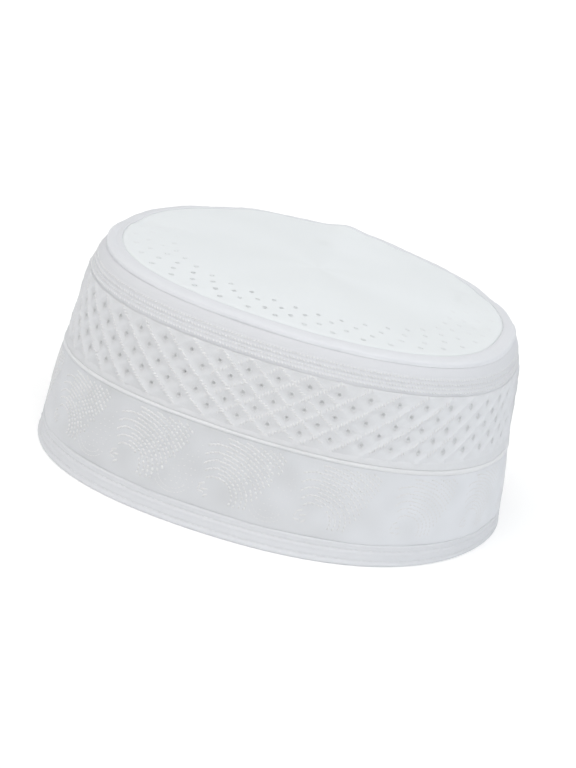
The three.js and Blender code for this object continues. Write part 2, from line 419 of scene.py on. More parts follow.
def lozenge_at(u, v, width, height):
    """For points of a pierced cloth: distance to the lozenge's edge, place in it in millimetres, and its row."""
    best = None
    for v0 in (np.floor(v), np.floor(v) + 1):
        shift = np.where(np.mod(v0, 2) == 1, 0.5, 0.0)
        u0 = np.round(u - shift) + shift
        x, y = (u - u0) * width, (v - v0) * height
        q = np.abs(x) / (width / 2) + np.abs(y) / height
        if best is None:
            best = [q, x, y, v0]
        else:
            near = q < best[0]
            best = [np.where(near, a, b) for a, b in zip((q, x, y, v0), best)]
    q, x, y, v0 = best
    return (1 - q) / math.hypot(2 / width, 1 / height), x, y, v0


class Patchwork:
    """Collects patches in (column, row) units and welds them into one mesh."""

    def __init__(self, columns):
        self.columns = columns
        self.p, self.h, self.f3, self.f4, self.u3, self.u4, self.n = [], [], [], [], [], [], 0

    def add(self, p, h, faces, layer):
        """p (n, 2) in (column, row), h (n,) height in millimetres, faces (m, 3 or 4)."""
        q = np.column_stack([p, np.full(len(p), layer, float)])
        self.p.append(q)
        self.h.append(h)
        (self.f3 if faces.shape[1] == 3 else self.f4).append(faces + self.n)
        self.n += len(p)

    def weld(self):
        p, h = np.concatenate(self.p), np.concatenate(self.h)
        key = np.round(np.column_stack([np.mod(p[:, 0] + 1e-5, self.columns) * 4000, p[:, 1] * 4000, p[:, 2] * 10])).astype(np.int64)
        _, first, inverse = np.unique(key, axis=0, return_index=True, return_inverse=True)
        inverse = inverse.ravel()
        faces, uvs = [], []
        for group in (self.f3, self.f4):
            if group:
                f = np.concatenate(group)
                faces.append(inverse[f])
                uvs.append(p[f][..., :2])
        return p[first], h[first], faces, uvs


def grid_faces(rows, cols, wrap=False):
    i, j = np.meshgrid(np.arange(rows - 1), np.arange(cols if wrap else cols - 1), indexing="ij")
    j2 = (j + 1) % cols
    return np.stack([i * cols + j, i * cols + j2, (i + 1) * cols + j2, (i + 1) * cols + j], -1).reshape(-1, 4)


def lozenge_patches(pw, columns, centres, width, height, hole, top_row, bottom_row, relief, under, jitter):
    """Adds the lozenges, the half lozenges above the top row and below the bottom one."""
    edge, mm, outer_rings, inner_rings = pierced(columns, None, width, height, hole, None)
    m = len(edge)
    unit = np.array([width, height])
    for (u0, v0) in centres:
        jx, jy, jr, js = jitter(u0, v0)
        pull = lambda ring: ring * (js + (1 - js) * np.clip((np.hypot(ring[:, 0], ring[:, 1]) - hole) / 1.2, 0, 1))[:, None]
        pts, hts = [], []
        for ring in outer_rings:
            x, y = ring[:, 0], ring[:, 1]
            q = np.abs(x) / (width / 2) + np.abs(y) / height
            fade = np.clip(1 - q, 0, 1)[:, None] ** 1.0
            pos = pull(ring) + np.array([jx, jy]) * fade
            pts.append(pos / unit + [u0, v0])
            hts.append(relief(x, y, q, jr))
        p, h = np.concatenate(pts), np.concatenate(hts)
        pw.add(p, h, grid_faces(len(outer_rings), m, True)[:, ::-1], 0)
        pts = [(pull(ring) + np.array([jx, jy]) * np.clip(1 - (np.abs(ring[:, 0]) / (width / 2) + np.abs(ring[:, 1]) / height), 0, 1)[:, None]) / unit + [u0, v0] for ring in inner_rings]
        p2 = np.concatenate(pts)
        pw.add(p2, np.full(len(p2), under), grid_faces(len(inner_rings), m, True), 1)
        # the hole's wall
        x, y = outer_rings[0][:, 0], outer_rings[0][:, 1]
        q = np.abs(x) / (width / 2) + np.abs(y) / height
        a = pts[0]
        start = pw.n
        pw.p.append(np.column_stack([a, np.zeros(m)]))
        pw.h.append(relief(x, y, q, jr))
        pw.p.append(np.column_stack([a, np.ones(m)]))
        pw.h.append(np.full(m, under))
        j = np.arange(m)
        j2 = (j + 1) % m
        pw.f4.append(np.stack([start + j, start + m + j, start + m + j2, start + j2], -1))
        pw.n += 2 * m
    # half lozenges
    for side, vline, vtip in ((-1, top_row - 1, top_row), (1, bottom_row + 1, bottom_row)):
        shift = 0.5 if (vtip % 2 == 0) else 0.0
        for k in range(columns):
            tip = np.array([k + shift, vtip], float)
            left, right = tip + [-0.5, vline - vtip], tip + [0.5, vline - vtip]
            idx, pts = {}, []
            for a in range(SIDE + 1):
                for b in range(SIDE + 1 - a):
                    idx[(a, b)] = len(pts)
                    pts.append(tip + (left - tip) * a / SIDE + (right - tip) * b / SIDE)
            pts = np.array(pts)
            f = []
            for a in range(SIDE):
                for b in range(SIDE - a):
                    f.append((idx[(a, b)], idx[(a + 1, b)], idx[(a, b + 1)]))
                    if a + b < SIDE - 1:
                        f.append((idx[(a + 1, b)], idx[(a + 1, b + 1)], idx[(a, b + 1)]))
            f = np.array(f)
            if side > 0:
                f = f[:, ::-1]
            x, y = (pts[:, 0] - tip[0]) * width, (pts[:, 1] - tip[1]) * height
            inside = (np.abs(pts[:, 1] - tip[1]) - 2 * np.abs(pts[:, 0] - tip[0]))  # rows inside the two sides
            slope = 1 / math.hypot(2 / width, 1 / height)
            d = inside * slope
            h = relief(None, None, None, 1.0, d=d)
            pw.add(pts, h, f[:, ::-1], 0)
            pw.add(pts, np.full(len(pts), under), f, 1)


# ---- how far round the cap a column lies ------------------------------------
COLUMNS, ROWS = 46, 5
ROW_Z, ROW_STEP = 64.497, 4.3924
COLUMN_W = 12.02
_w0 = 0.5 * (CORD_Z + LATTICE_TOP_Z) / SHAPE_Z
_th = np.linspace(0, TAU, 721)
_share = np.ones_like(_th)
for _n, _hc, _hs, _cc, _cs in OUTLINE:
    _share += (_hc * (1 - _w0) + _cc * _w0) * np.cos(_n * _th) + (_hs * (1 - _w0) + _cs * _w0) * np.sin(_n * _th)
_xy = np.stack([_share * np.cos(_th), _share * np.sin(_th)], 1)
_arc = np.concatenate([[0], np.cumsum(np.linalg.norm(np.diff(_xy, axis=0), axis=1))])
_arc /= _arc[-1]
PHASE = (-1.75413 / TAU) % 1.0


def column_angle(u):
    s = PHASE + np.asarray(u, float) / COLUMNS
    return np.interp(np.mod(s, 1.0), _arc, _th)


# ---------------------------------------------------------------------------
# Lattice band
# ---------------------------------------------------------------------------
CORD_MID = CORD_Z + 0.5
CORD_R = 1.1
LATTICE_FOOT = CORD_MID + CORD_R + 0.04
LATTICE_TOP = LATTICE_TOP_Z - 0.03
rng = np.random.default_rng(11)
JIT = rng.normal(0, 1, (ROWS, COLUMNS, 3))
HOLE = 0.16
RIB, RIB_HALF, SUNK = 0.92, 2.75, -0.5


def lattice_jitter(u0, v0):
    a = JIT[int(v0), int(math.floor(u0)) % COLUMNS]
    deg = (math.degrees(float(column_angle(u0))) + 180) % 360 - 180
    open_ = float(np.interp(deg, [-180, -72, -40, -10, 40, 180], [1, 1, 0.7, 0.7, 1, 1]))
    return 0.22 * a[0], 0.18 * a[1], open_ * (1 + 0.12 * a[2]), open_ * (1 + 0.10 * a[2])


def lattice_relief(x, y, q, jr, d=None):
    """The eyelet's own height in millimetres; the ribs are added once the cloth is welded."""
    if x is None:
        return np.zeros_like(d)
    rr = np.hypot(x, y)
    return jr * (0.16 * np.exp(-(((rr - 1.0) / 0.4) ** 2)) - 0.32 * np.exp(-(rr - HOLE) / 0.42))


def rib_lean(t):
    """1 where the ribs that fall to the right stand highest, -1 where the rising ones do."""
    return np.clip(1.8 * np.cos(t + math.radians(179)), -1, 1)


def degrees_round(t):
    return (np.degrees(t) + 180) % 360 - 180


def rib_strength(t):
    """The padding is plumpest on one side of the cap and pulled flatter round the other."""
    return np.interp(degrees_round(t), [-180, -155, -138, -115, -90, -65, -20, 30, 180], [1, 0.96, 0.76, 0.66, 0.61, 0.54, 0.54, 0.8, 1])


def rib_height(u, v):
    """The ribs cross both ways; those that lean one way stand higher on one side of the cap."""
    d, x, y, row = lozenge_at(u, v, COLUMN_W, ROW_STEP)
    a, b = x / (COLUMN_W / 2), -y / ROW_STEP
    k = math.hypot(2 / COLUMN_W, 1 / ROW_STEP)
    t = column_angle(u)
    lean, rib = rib_lean(t), RIB * rib_strength(t) * (1 - 0.45 * np.clip((v - (ROWS - 0.9)) / 0.8, 0, 1))
    half = RIB_HALF * (0.70 + 0.30 * rib_strength(t))
    falling = rib * (0.78 + 0.36 * lean - 0.22 * np.clip(-lean - 0.4, 0, 0.6) / 0.6) * bump1((1 - np.abs(a + b)) / k / half, 1.0)
    smooth = np.clip(-lean, 0, 1)
    rising = rib * (0.82 - 0.27 * lean + 0.55 * smooth) * bump1((1 - np.abs(a - b)) / k / (half * (1 - 0.17 * smooth)), 1.0)
    return np.maximum(falling, rising) + 0.22 * np.minimum(falling, rising)


lat = Patchwork(COLUMNS)
centres = [(k + (0.5 if v % 2 else 0.0), v) for v in range(ROWS) for k in range(COLUMNS)]
lozenge_patches(lat, COLUMNS, centres, COLUMN_W, ROW_STEP, HOLE, 0, ROWS - 1, lattice_relief, -2.35, lattice_jitter)

# The plain strip under the lattice, with its soft upright creases.
ROW_FOOT = (ROW_Z - LATTICE_FOOT) / ROW_STEP
FINE = 2 * SIDE
v_line = float(ROWS)


def strip_h(u, v):
    """The ribs run out under their lowest crossings, and the cloth between is drawn into upright creases."""
    below = (v - v_line) * ROW_STEP
    n_rows = v_line - 1
    shift = 0.0 if (n_rows % 2 == 0) else 0.5
    c = np.abs(((u - shift + 0.5) % 1.0) - 0.5) * COLUMN_W
    tail = 0.95 * RIB * bump1(c, 2.4) * np.exp(-below / 1.3)
    crease = 0.12 * np.sin(TAU * u * 5 + 1.3 * np.sin(TAU * u * 6 / 46) + 0.8 * np.sin(TAU * u * 15 / 46))
    crease = crease + 0.06 * np.sin(TAU * u * 8 + 2.0 * np.sin(TAU * u * 9 / 46))
    level = 0.74 * np.clip(below / 2.2, 0, 1)
    return tail + crease * np.clip(below / 0.6, 0, 1) * np.clip((5.2 - below) / 3.0, 0.25, 1) + level


for k in range(COLUMNS):
    shift = 0.5 if ((ROWS - 1) % 2 == 0) else 0.0
    u0 = k + shift - 0.5
    coarse = np.array([[u0 + i / SIDE, v_line] for i in range(SIDE + 1)])
    v1 = v_line + 0.07
    fine = np.array([[u0 + i / FINE, v1] for i in range(FINE + 1)])
    pts = np.concatenate([coarse, fine])
    f = []
    for i in range(SIDE):
        a, b = i, i + 1
        p0, p1, p2 = SIDE + 1 + 2 * i, SIDE + 2 + 2 * i, SIDE + 3 + 2 * i
        f += [(a, p0, p1), (a, p1, b), (b, p1, p2)]
    f = np.array(f)
    hc = lattice_relief(None, None, None, 1.0, d=(1 - 2 * np.abs(coarse[:, 0] - u0 - 0.5)) / math.hypot(2 / COLUMN_W, 1 / ROW_STEP))
    hc = np.concatenate([hc, strip_h(fine[:, 0], fine[:, 1])])
    lat.add(pts, hc, f, 0)
    lat.add(pts, np.full(len(pts), -2.35), f[:, ::-1], 1)
    vs = np.concatenate([[v1], np.linspace(v_line + 0.18, ROW_FOOT, 6)])
    g = np.array([[u0 + i / FINE, v] for v in vs for i in range(FINE + 1)])
    h = strip_h(g[:, 0], g[:, 1])
    lat.add(g, h, grid_faces(len(vs), FINE + 1)[:, ::-1], 0)
    lat.add(g, np.full(len(g), -2.35), grid_faces(len(vs), FINE + 1), 1)
    # bottom rim
    a = np.array([[u0 + i / FINE, ROW_FOOT] for i in range(FINE + 1)])
    start = lat.n
    lat.p += [np.column_stack([a, np.zeros(len(a))]), np.column_stack([a, np.ones(len(a))])]
    lat.h += [strip_h(a[:, 0], a[:, 1]), np.full(len(a), -2.35)]
    j = np.arange(FINE)
    n1 = FINE + 1
    lat.f4.append(np.stack([start + j, start + n1 + j, start + n1 + j + 1, start + j + 1], -1))
    lat.n += 2 * n1
    # top rim
    u1 = k - 0.0
    a = np.array([[u1 + i / SIDE, -1.0] for i in range(SIDE + 1)])
    start = lat.n
    lat.p += [np.column_stack([a, np.zeros(len(a))]), np.column_stack([a, np.ones(len(a))])]
    lat.h += [lattice_relief(None, None, None, 1.0, d=(1 - 2 * np.abs(a[:, 0] - u1 - 0.5)) / math.hypot(2 / COLUMN_W, 1 / ROW_STEP)), np.full(len(a), -2.35)]
    j = np.arange(SIDE)
    n1 = SIDE + 1
    lat.f4.append(np.stack([start + j, start + j + 1, start + n1 + j + 1, start + n1 + j], -1))
    lat.n += 2 * n1

lp, lh, lfaces, luv = lat.weld()
lt = column_angle(lp[:, 0])
lz = ROW_Z - ROW_STEP * lp[:, 1]
lz = lz + (LATTICE_TOP - (ROW_Z + ROW_STEP)) * np.clip((-0.5 - lp[:, 1]) / 0.5, 0, 1)
outside = lp[:, 2] < 0.5


def lattice_uneven(t, z, h):
    """The hand-made unevenness of the padding, and its tuck under the band above."""
    tuck = np.clip((z - (LATTICE_TOP - 2.6)) / 2.6, 0, 1) ** 1.5
    h = (h - SUNK) * (1 + 0.16 * ripple(t, z, 21, 8, 60, 9)) + SUNK + 0.12 * ripple(t, z, 22, 3, 20, 40)
    return h * (1 - 0.7 * tuck) - (0.17 - 0.08 * np.cos(t)) * tuck


lz = np.minimum(lz, LATTICE_TOP)
lh = lh + SUNK + np.where(lp[:, 1] < v_line + 0.01, rib_height(lp[:, 0], lp[:, 1]), 0.0)
lh = np.where(outside, lattice_uneven(lt, lz, lh), lh)
lverts = on_wall(lt, lz, lh)
ld, lx, ly, lrow = lozenge_at(lp[:, 0], lp[:, 1], COLUMN_W, ROW_STEP)
has = (lrow >= 0) & (lrow < ROWS)
# Painted shade: the cells darker than the ribs, and a dark halo round each eyelet.
cell_shade = np.where(lp[:, 1] > ROWS, 0.0, 1 - bump1(np.clip(ld, 0, 9), 2.3))
ltint = 0.992 - 0.09 * cell_shade * rib_strength(lt) - np.where(has, (0.05 + 0.16 * rib_strength(lt)) * np.exp(-((np.hypot(lx, ly) / 1.05) ** 2)), 0.0)
# Painted shade: the plain strip under the ribs is darker.
ltint = ltint - 0.08 * np.clip((lp[:, 1] - ROWS) / 0.25, 0, 1)
# Painted shade: the lattice darker over two stretches round the cap, near -86 and -132 degrees. The inner face gets a
# flat 0.9.
ltint = ltint - 0.085 * np.exp(-(((degrees_round(lt) + 86) / 26) ** 2)) - 0.075 * np.exp(-(((degrees_round(lt) + 132) / 24) ** 2))
ltint = np.where(outside, ltint, 0.9)
luv = [u * [COLUMN_W, ROW_STEP] for u in luv]
lattice = build("lattice_cloth", lverts, lfaces, M_LATTICE, uv=luv, tint=ltint)
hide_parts("lattice_band")

# ---- satin stitches across the ribs, and round each eyelet ---------------------
rng = np.random.default_rng(5)
su, sv, sdu, sdv, sfall = [], [], [], [], []
PER = 6
for v in range(ROWS):
    for k in range(COLUMNS):
        u0 = k + (0.5 if v % 2 else 0.0)
        sides = [((0.5, 0.0), (0.0, -1.0)), ((-0.5, 0.0), (0.0, -1.0))]
        if v == ROWS - 1:
            sides += [((0.5, 0.0), (0.0, 1.0)), ((-0.5, 0.0), (0.0, 1.0))]
        for a, b in sides:
            a, b = np.array(a), np.array(b)
            run = (b - a) * [COLUMN_W, -ROW_STEP]
            run = run / np.linalg.norm(run)
            if run[0] < 0:
                run = -run
            across = np.array([-run[1], run[0]])
            for i in range(PER):
                c = a + (b - a) * (i + 0.5) / PER
                su.append(u0 + c[0])
                sv.append(v + c[1])
                lie = across * 0.75 + run * (0.9 if run[1] < 0 else 0.35)
                sdu.append(lie[0])
                sdv.append(lie[1])
                sfall.append(1.0 if run[1] < 0 else -1.0)
su, sv, sdu, sdv, sfall = map(np.array, (su, sv, sdu, sdv, sfall))
keep = rng.uniform(0, 1, len(su)) < 0.93
su, sv, sdu, sdv, sfall = su[keep], sv[keep], sdu[keep], sdv[keep], sfall[keep]
strong = np.clip(0.55 + 0.55 * sfall * rib_lean(column_angle(su)), 0.0, 1)
faint = np.interp((np.degrees(column_angle(su)) + 180) % 360 - 180, [-180, -150, -125, -90, -68, -20, 30, 180], [0.5, 0.55, 0.85, 1, 0.3, 0.05, 0.5, 0.6])
strong = strong * faint * (1 - 0.6 * np.clip((sv - (ROWS - 0.9)) / 0.6, 0, 1))
keep = strong > 0.17
su, sv, sdu, sdv, strong = su[keep], sv[keep], sdu[keep], sdv[keep], strong[keep]
st, sz = column_angle(su), ROW_Z - ROW_STEP * sv
sz = sz + rng.normal(0, 0.12, len(sz))
st = st + rng.normal(0, 0.10, len(st)) / 88
ang = rng.normal(0, 0.28, len(st))
dx, dz = sdu * np.cos(ang) - sdv * np.sin(ang), sdu * np.sin(ang) + sdv * np.cos(ang)
off = lattice_uneven(st, sz, rib_height(su, sv) + SUNK)
p, al, no = wall_frame(st, sz, off - 0.02, dx, dz)
lattice_thread = stitches(
    "lattice_stitches", p, al, no, rng.uniform(1.3, 2.0, len(p)), rng.uniform(0.6, 0.85, len(p)), rng.uniform(0.18, 0.30, len(p)) * (0.25 + 0.75 * strong), M_THREAD,
    tint=0.82 + rng.uniform(0.0, 0.12, len(p)) * strong,
)

eu, ev, ea = [], [], []
for v in range(ROWS):
    for k in range(COLUMNS):
        u0 = k + (0.5 if v % 2 else 0.0)
        jx, jy, jr, js = lattice_jitter(u0, v)
        for i in range(11):
            a = TAU * (i + 0.5 * (k % 2)) / 11
            eu.append(u0 + (jx * 0.8 + 0.95 * math.cos(a)) / COLUMN_W)
            ev.append(v + (jy * 0.8 + 0.95 * math.sin(a)) / ROW_STEP)
            ea.append(a)
eu, ev, ea = map(np.array, (eu, ev, ea))
et_, ez_ = column_angle(eu), ROW_Z - ROW_STEP * ev
off = lattice_uneven(et_, ez_, SUNK + 0.10)
p, al, no = wall_frame(et_, ez_, off, np.cos(ea), -np.sin(ea))
eyelet_thread = stitches(
    "eyelet_stitches", p, al, no, 0.7, 0.34, 0.14, M_THREAD_SOFT, tint=rng.uniform(0.8, 0.9, len(p)),
)


# ---------------------------------------------------------------------------
# Strips of cloth on the wall: hem, cuff and stitched band
# ---------------------------------------------------------------------------
def strip(name, zs, relief, thick, segs, material, tint=None):
    zs = np.asarray(zs, float)
    zin = zs[::-1][:: max(1, len(zs) // 8)]
    if zin[-1] != zs[0]:
        zin = np.append(zin, zs[0])

    def points(t):
        T, Z = np.meshgrid(t, zs, indexing="ij")
        outer = on_wall(T, Z, relief(T, Z))
        T2, Z2 = np.meshgrid(t, zin, indexing="ij")
        inner = on_wall(T2, Z2, -thick)
        inner[..., 2] = np.maximum(inner[..., 2], 0.0)
        return np.concatenate([outer, inner], 1)

    shade = None
    if tint is not None:

        def shade(t):
            T, Z = np.meshgrid(t, zs, indexing="ij")
            return np.concatenate([tint(T, Z), np.full((len(t), len(zin)), 0.9)], 1)

    return ring_mesh(name, points, segs, material, tint=shade)


# ---- hem: a doubled fold, its edge and two sewn lines ----------------------------
HEM_TOP = HEM_HEIGHT + 0.12


def hem_relief(t, z):
    roll = 0.26 * bump1(z - 0.9, 1.0)
    line_low = -0.22 * bump1(z - 2.1, 0.7)
    line_mid = -0.24 * bump1(z - 5.9, 0.7) + 0.14 * bump1(z - 4.8, 0.8)
    fold = 0.16 * bump1(z - 7.7, 0.8) - 0.16 * np.clip((z - (HEM_TOP - 0.3)) / 0.3, 0, 1)
    pucker = 0.05 * ripple(t, z, 31, 60, 150, 6) * (0.4 + bump1(z - 5.0, 2.5))
    return 0.10 + roll + line_low + line_mid + fold + pucker - 0.55 * np.clip((0.45 - z) / 0.45, 0, 1) ** 2


hem = strip("hem_cloth", np.concatenate([[0, 0.12, 0.3, 0.5], np.arange(0.75, HEM_TOP - 0.3, 0.2), [HEM_TOP - 0.15, HEM_TOP - 0.06, HEM_TOP]]), hem_relief, 2.3, 560, M_HEM)
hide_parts("hem_band")


# ---- cuff -----------------------------------------------------------------------
CUFF_FOOT, CUFF_TOP = HEM_TOP + 0.04, CORD_MID - CORD_R - 0.04
WAVES = 15
WAVE_T0 = math.radians(-124.5)
FAN = (-2.5, 14.5)  # the middle of a wave's arcs: millimetres along from the wave's middle, and height


def wave_place(t):
    """Millimetres along from the middle of the nearest wave."""
    k = (t - WAVE_T0) / (TAU / WAVES)
    return (k - np.round(k)) * TAU / WAVES * 91.0


def in_wave(x, z):
    """About 1 where a wave is embroidered, 0 on the plain ground."""
    right = np.minimum(11.8 + 0.7226 * (z - 12.5), 23.0)
    edge = lambda d, soft=3.0: np.clip(0.5 + d / soft, 0, 1)
    rx = np.where(x < FAN[0], 0.8, 1.35)
    r = np.hypot((x - FAN[0]) / rx, z - FAN[1])
    return edge(right - x) * edge(x + 8.8) * edge(z - 12.2) * edge(r - 5.4)


def work_strength(t):
    """The embroidery is pulled flat and faint on one side of the cap."""
    deg = (np.degrees(t) + 180) % 360 - 180
    return np.interp(deg, [-180, -125, -98, -72, -52, 5, 40, 180], [0.85, 0.8, 0.55, 0.2, 0.03, 0.03, 0.85, 0.85])


def cuff_relief(t, z):
    belly = 0.3 * np.sin(math.pi * np.clip((z - HEM_HEIGHT) / (CUFF_TOP - HEM_HEIGHT), 0, 1))
    soft = 0.22 * ripple(t, z, 41, 3, 16, 45) + 0.06 * ripple(t, z, 42, 20, 70, 14)
    tuck = -0.10 * bump1(z - CUFF_TOP, 1.0) - 0.12 * bump1(z - CUFF_FOOT, 0.7)
    line = -0.08 * bump1(z - (CUFF_TOP - 1.5), 0.5)
    return belly + soft + tuck + line


def cuff_tint(t, z):
    work = in_wave(wave_place(t), z)
    deg = (np.degrees(t) + 180) % 360 - 180
    # Painted shade: the cuff darker round -138, -115 and -78 degrees, and a little lighter round -25. Apart from that,
    # the cuff is darker where the embroidery is strong, most on the plain ground, and mottled at random.
    side_shade = -0.055 * np.exp(-(((deg + 138) / 9) ** 2)) - 0.10 * np.exp(-(((deg + 115) / 32) ** 2)) - 0.075 * np.exp(-(((deg + 78) / 24) ** 2)) + 0.02 * np.exp(-(((deg + 25) / 26) ** 2))
    return 0.94 - (0.035 + 0.025 * (1 - work)) * work_strength(t) - 0.03 * ripple(t, z, 43, 8, 40, 12) + side_shade


cuff_z = np.concatenate([[CUFF_FOOT, CUFF_FOOT + 0.1], np.arange(9.0, CUFF_TOP - 0.5, 0.6), [CUFF_TOP - 0.4, CUFF_TOP - 0.15, CUFF_TOP]])
cuff = strip("cuff_cloth", cuff_z, cuff_relief, 1.8, 720, M_CUFF, tint=cuff_tint)
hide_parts("cuff_band")


# ---- embroidered wave crests on the cuff -------------------------------------------
def wave_threads():
    rng = np.random.default_rng(77)
    rows = []

    def put(m, x, z, dx, dz, length, width, height, tone):
        rows.append((m, x, z, dx, dz, length, width, height, tone))

    for m in range(WAVES):
        for k in range(15):
            rz = 6.0 + 1.42 * k
            lead = k % 2 == 0 and rz < 20
            a = np.radians(np.linspace(124 if lead else 86, -42, 220))
            rx = np.where(np.cos(a) < 0, 0.8, 1.35) * rz
            x, z = FAN[0] + rx * np.cos(a), FAN[1] + rz * np.sin(a)
            s = np.concatenate([[0], np.cumsum(np.hypot(np.diff(x), np.diff(z)))])
            pitch = 1.58
            pos = np.arange(0.2 + 0.5 * pitch * (k % 2), s[-1] - 0.3, pitch)
            px, pz, pa = np.interp(pos, s, x), np.interp(pos, s, z), np.interp(pos, s, np.degrees(a))
            qx = np.interp(pos + 0.2, s, x) - np.interp(pos - 0.2, s, x)
            qz = np.interp(pos + 0.2, s, z) - np.interp(pos - 0.2, s, z)
            for i in range(len(pos)):
                right = min(11.1 + 0.7226 * (pz[i] - 12.5), 22.3)
                if px[i] > right or px[i] < -8.6 or pz[i] > CUFF_TOP - 1.3 or pz[i] < 12.4:
                    continue
                thin = pa[i] > 64
                if not thin and rng.uniform() < 0.03:
                    continue
                put(
                    m, px[i] + rng.normal(0, 0.08), pz[i] + rng.normal(0, 0.07), qx[i], qz[i] + rng.normal(0, 0.03),
                    1.85 if thin else rng.uniform(1.3, 1.55), 0.95 if thin else rng.uniform(0.98, 1.16),
                    0.42 if thin else rng.uniform(0.42, 0.56), rng.uniform(0.84, 0.90) if thin else rng.uniform(0.80, 0.91),
                )
        # the satin leaf under the crest
        for x, z, dx, dz, length, width in (
            (-6.8, 16.9, 1, 0.5, 2.6, 1.1), (-5.5, 15.3, 1, 0.2, 2.9, 1.1), (-6.9, 13.9, 1, -0.1, 2.4, 1.0),
            (-4.8, 13.3, 0.8, 0.6, 2.2, 1.0), (-7.9, 15.5, 0.5, 1, 1.9, 0.9),
        ):
            put(m, x + rng.normal(0, 0.15), z + rng.normal(0, 0.15), dx, dz, length * 1.15, width, 0.26, rng.uniform(0.82, 0.87))
        # the round of the next trough
        for cx0, cz0, r0, b0, b1 in ((19.5, 17.0, 6.2, 200, 330), (19.5, 17.0, 7.9, 215, 320)):
            a = np.radians(np.linspace(b0, b1, 60))
            x, z = cx0 + r0 * np.cos(a), cz0 + r0 * 0.85 * np.sin(a)
            s = np.concatenate([[0], np.cumsum(np.hypot(np.diff(x), np.diff(z)))])
            pos = np.arange(0.4, s[-1], 1.3)
            for p0 in pos:
                if np.interp(p0, s, z) < 9.6:
                    continue
                put(m, np.interp(p0, s, x), np.interp(p0, s, z), np.interp(p0 + 0.2, s, x) - np.interp(p0 - 0.2, s, x),
                    np.interp(p0 + 0.2, s, z) - np.interp(p0 - 0.2, s, z), 1.3, 0.42, 0.10, rng.uniform(0.83, 0.86))
        # sparse small dots in the sheer ground before the next crest
        for row in range(8):
            for col in range(5):
                x = 17.0 + col * 2.4 + (row % 2) * 1.2 + rng.normal(0, 0.2)
                z = 14.0 + row * 2.2 + rng.normal(0, 0.2)
                if x < 13.6 + 0.7226 * (z - 12.5) or x > 28.0:
                    continue
                put(m, x, z, 1.0, 0.2, 0.8, 0.5, 0.12, 0.86)
    m, x, z, dx, dz, length, width, height, tone = np.array(rows).T
    return WAVE_T0 + m * TAU / WAVES + x / 91.0, z, dx, dz, length, width, height, tone


wt, wz, wdx, wdz, wl, ww, wh, wtone = wave_threads()
strength = work_strength(wt)
ww = ww * (0.6 + 0.4 * np.sqrt(strength))
wh = wh * (0.13 + 0.55 * strength)
wtone = 0.76 + 0.045 * np.sqrt(strength) + (wtone - 0.84) * (0.1 + 0.9 * strength)
p, al, no = wall_frame(wt, wz, cuff_relief(wt, wz) - 0.02, wdx, wdz)
waves = stitches("wave_embroidery", p, al, no, wl, ww, wh, M_THREAD, tint=wtone)

# ---- stitched band -----------------------------------------------------------------
BAND_FOOT, BAND_TOP = LATTICE_TOP_Z + 0.03, BAND_TOP_Z - 0.03


def band_relief(t, z):
    out = 0.42 * bump1(z - 75.4, 4.2)
    out = out - 0.13 * bump1(z - 72.6, 0.55) - 0.08 * bump1(z - 74.2, 0.4) - 0.06 * bump1(z - 71.2, 0.4) - 0.06 * bump1(z - 75.95, 0.35)
    out = out + 0.12 * ripple(t, z, 51, 3, 14, 60)
    out = out + 0.06 * ripple(t, z, 52, 90, 220, 5) * bump1(z - 73.0, 3.4)
    side = 0.5 - 0.5 * np.cos(t + math.radians(-10))
    return out - (0.07 + 0.25 * side) * bump1(z - BAND_TOP, 1.9) - (0.34 + 0.16 * side) * bump1(z - BAND_FOOT, 1.1)


band_z = np.concatenate([[BAND_FOOT, BAND_FOOT + 0.08], np.arange(BAND_FOOT + 0.2, BAND_TOP - 0.15, 0.21), [BAND_TOP - 0.08, BAND_TOP]])
band = strip("band_cloth", band_z, band_relief, 1.9, 720, M_BAND)
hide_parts("stitched_band")

rng = np.random.default_rng(9)
bt, bz, bdx, bdz, bl = [], [], [], [], []
for k, (row, length, lean) in enumerate(((75.05, 1.1, 1.1), (73.4, 1.15, -1.1), (71.9, 0.95, 1.1), (70.5, 0.95, -1.1))):
    count = 400
    bt.append((np.arange(count) + 0.5 * k) * TAU / count + rng.normal(0, 0.0008, count))
    bz.append(np.full(count, row) + rng.normal(0, 0.06, count))
    bdx.append(np.ones(count))
    bdz.append(lean + rng.normal(0, 0.15, count))
    bl.append(np.full(count, length))
bt, bz, bdx, bdz, bl = map(np.concatenate, (bt, bz, bdx, bdz, bl))
p, al, no = wall_frame(bt, bz, band_relief(bt, bz) + 0.03, bdx, bdz)
strength = np.clip(work_strength(bt) + 0.25, 0, 1)
band_thread = stitches("band_stitches", p, al, no, bl, 0.54, 0.09 + 0.11 * strength, M_THREAD, tint=0.79 + rng.uniform(0.03, 0.13, len(bt)) * strength)

# ---- hem stitches ---------------------------------------------------------------------
ht, hz = [], []
for k, (row, count) in enumerate(((2.1, 250), (5.9, 250))):
    ht.append((np.arange(count) + 0.3 * k) * TAU / count)
    hz.append(np.full(count, row))
ht, hz = np.concatenate(ht), np.concatenate(hz)
p, al, no = wall_frame(ht, hz, hem_relief(ht, hz) + 0.02, np.ones(len(ht)), rng.normal(0, 0.03, len(ht)))
strength = np.clip(work_strength(ht) + 0.2, 0, 1)
hem_thread = stitches("hem_stitches", p, al, no, 1.7, 0.34, 0.06 + 0.11 * strength, M_THREAD_SOFT, tint=0.82 + rng.uniform(0.03, 0.12, len(ht)) * strength)

# ---------------------------------------------------------------------------
# Piping cord
# ---------------------------------------------------------------------------
def cord_bulge(t):
    return 0.40 - 0.17 * np.exp(-(((degrees_round(t) + 52) / 30) ** 2))


